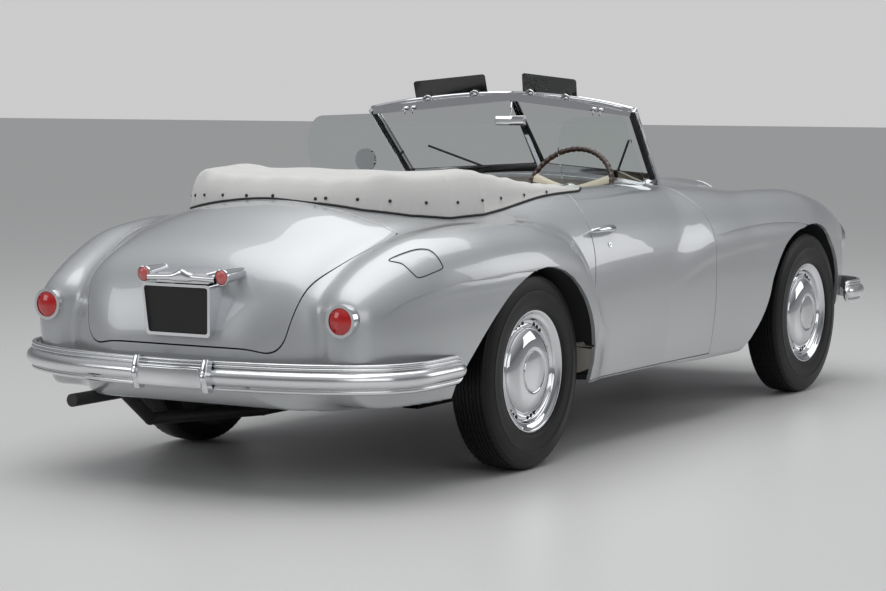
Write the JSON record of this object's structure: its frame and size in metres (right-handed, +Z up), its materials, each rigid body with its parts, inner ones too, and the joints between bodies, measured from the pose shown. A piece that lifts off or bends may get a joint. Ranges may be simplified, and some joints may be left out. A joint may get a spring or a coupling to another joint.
{
  "type": "roadster convertible car",
  "caption": "Two-door open car with its top folded under a cover, split windscreen, pontoon-like wings, ribbed bumpers, steering, and opening doors, bonnet and boot lid.",
  "frame": {"origin": "on the road under the middle of the car's overall length", "axes": "+X forward, +Y to the car's left, +Z up"},
  "size_m": [4.8704, 1.7978, 1.4943],
  "materials": {
    "canvas": "woven",
    "chassis_black": "satin",
    "chrome": "polished",
    "clear_glass": "clear",
    "dash": "gloss",
    "exhaust_steel": "dull",
    "iron": "matt",
    "leather": "satin",
    "mirror": "polished",
    "paint": "metallic gloss",
    "plate_black": "satin",
    "red_glass": "ribbed",
    "smoked_glass": "tinted",
    "steering_plastic": "gloss",
    "tyre": "satin",
    "wheel": "polished"
  },
  "bodies": {
    "car": {"front_body": "paint", "rear_body": "paint", "floor_pan": "chassis_black", "chassis_frame": "chassis_black", "engine_block": "iron", "propeller_shaft": "iron", "front_suspension": "chassis_black", "rear_axle": "iron", "exhaust": "exhaust_steel", "front_bumper": "chrome", "rear_bumper": "chrome", "lamp_rims": "chrome", "headlamp_lenses": "clear_glass", "tail_lamp_lenses": "red_glass", "grille": "chrome", "windscreen_frame": "chrome", "windscreen_glass": "clear_glass", "sun_visors": "smoked_glass", "interior_mirror": "mirror", "wipers": "chrome", "dashboard": "dash", "steering_column": "dash", "front_seats": "leather", "rear_bench": "leather", "top_cover": "canvas"},
    "left_door": {"door_left": "paint", "door_glass_left": "clear_glass", "door_handle_left": "chrome", "door_mirror": "chrome"},
    "right_door": {"door_right": "paint", "door_glass_right": "clear_glass", "door_handle_right": "chrome"},
    "bonnet": {"bonnet": "paint"},
    "boot": {"boot_lid": "paint", "plate_housing": "chrome", "number_plate": "plate_black", "reflector_lamps": "red_glass"},
    "steering_wheel": {"steering_wheel": "steering_plastic"},
    "left_knuckle": {"knuckle_left": "iron"},
    "right_knuckle": {"knuckle_right": "iron"},
    "front_left_wheel": {"tyre_front_left": "tyre", "wheel_front_left": "wheel"},
    "front_right_wheel": {"tyre_front_right": "tyre", "wheel_front_right": "wheel"},
    "rear_left_wheel": {"tyre_rear_left": "tyre", "wheel_rear_left": "wheel"},
    "rear_right_wheel": {"tyre_rear_right": "tyre", "wheel_rear_right": "wheel"}
  },
  "joints": [
    {"name": "front_left_roll", "type": "hinge", "parent": "left_knuckle", "child": "front_left_wheel", "pos_m": [1.515, 0.7275, 0.375], "axis": [0, 1, 0], "continuous": true},
    {"name": "front_right_roll", "type": "hinge", "parent": "right_knuckle", "child": "front_right_wheel", "pos_m": [1.515, -0.7275, 0.375], "axis": [0, 1, 0], "continuous": true},
    {"name": "rear_left_roll", "type": "hinge", "parent": "car", "child": "rear_left_wheel", "pos_m": [-1.185, 0.74, 0.375], "axis": [0, 1, 0], "continuous": true},
    {"name": "rear_right_roll", "type": "hinge", "parent": "car", "child": "rear_right_wheel", "pos_m": [-1.185, -0.74, 0.375], "axis": [0, 1, 0], "continuous": true},
    {"name": "steer_left", "type": "hinge", "parent": "car", "child": "left_knuckle", "pos_m": [1.515, 0.6, 0.375], "axis": [0, 0, 1], "range_deg": [-30, 30]},
    {"name": "steer_right", "type": "hinge", "parent": "car", "child": "right_knuckle", "pos_m": [1.515, -0.6, 0.375], "axis": [0, 0, 1], "range_deg": [-30, 30]},
    {"name": "steering_wheel_turn", "type": "hinge", "parent": "car", "child": "steering_wheel", "pos_m": [0.016, -0.33, 0.994], "axis": [-0.891, 0, 0.454], "range_deg": [-450, 450]},
    {"name": "left_door_swing", "type": "hinge", "parent": "car", "child": "left_door", "pos_m": [0.39, 0.863, 0.6], "axis": [0, 0, -1], "range_deg": [0, 65]},
    {"name": "right_door_swing", "type": "hinge", "parent": "car", "child": "right_door", "pos_m": [0.39, -0.863, 0.6], "axis": [0, 0, 1], "range_deg": [0, 65]},
    {"name": "bonnet_lift", "type": "hinge", "parent": "car", "child": "bonnet", "pos_m": [0.682, 0, 1.038], "axis": [0, -1, 0], "range_deg": [0, 50]},
    {"name": "boot_lift", "type": "hinge", "parent": "car", "child": "boot", "pos_m": [-1.734, 0, 1.026], "axis": [0, 1, 0], "range_deg": [0, 60]}
  ],
  "couplings": [
    {"joint": "steer_right", "follows": "steer_left", "ratio": 1},
    {"joint": "steering_wheel_turn", "follows": "steer_left", "ratio": 15}
  ]
}
